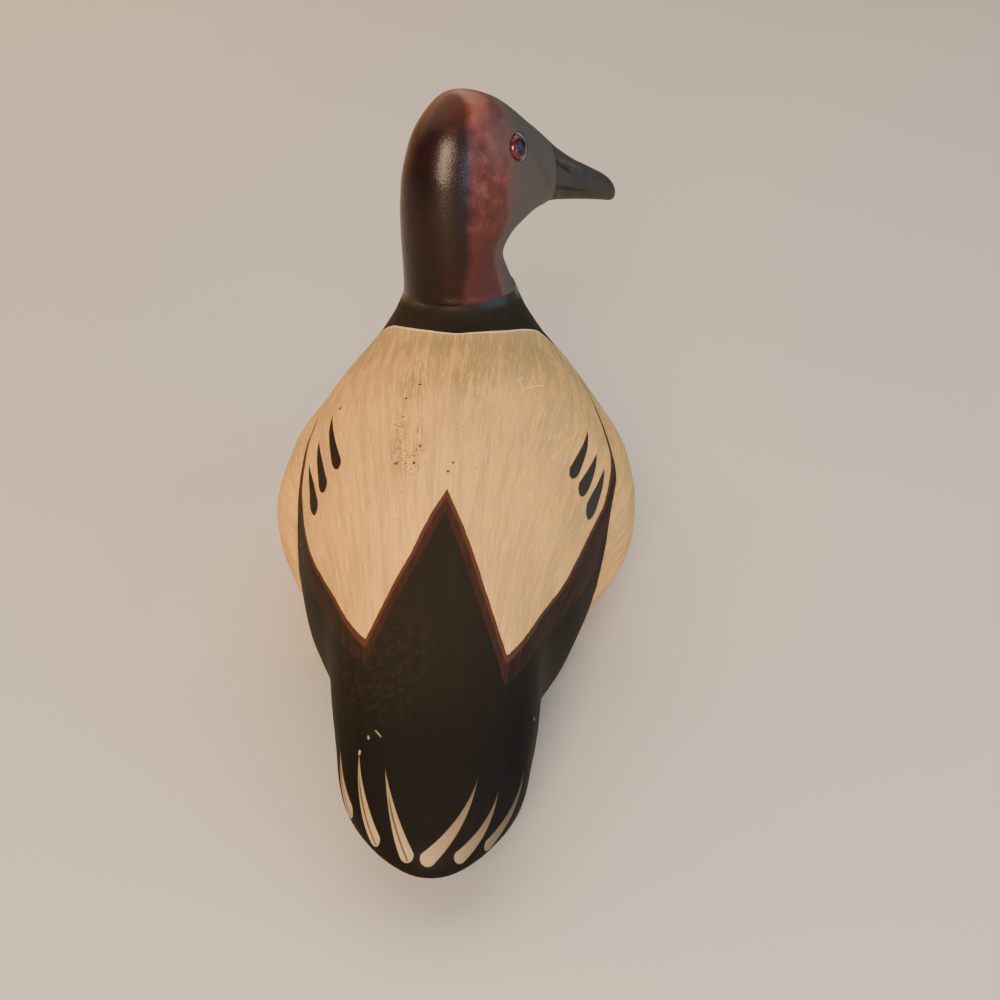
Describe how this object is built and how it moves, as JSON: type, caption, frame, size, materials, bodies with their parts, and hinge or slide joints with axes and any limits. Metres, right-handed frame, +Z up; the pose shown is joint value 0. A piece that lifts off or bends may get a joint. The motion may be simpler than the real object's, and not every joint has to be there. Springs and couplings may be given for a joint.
{
  "type": "duck decoy",
  "caption": "Carved and painted wooden canvasback drake decoy with a flat underside, its head turned to the bird's right, and round glass eyes.",
  "frame": {"origin": "middle of the flat underside, at floor level", "axes": "+Z up, +Y towards the tail, -Y towards the breast, +X towards the bird's left"},
  "size_m": [0.11, 0.2541, 0.1492],
  "materials": {
    "body_paint": "satin paint on carved wood",
    "head_paint": "satin paint on carved wood",
    "eye_glass": "polished"
  },
  "bodies": {
    "root": {"body": "body_paint", "head": "head_paint", "eye_left": "eye_glass", "eye_right": "eye_glass"}
  },
  "joints": []
}
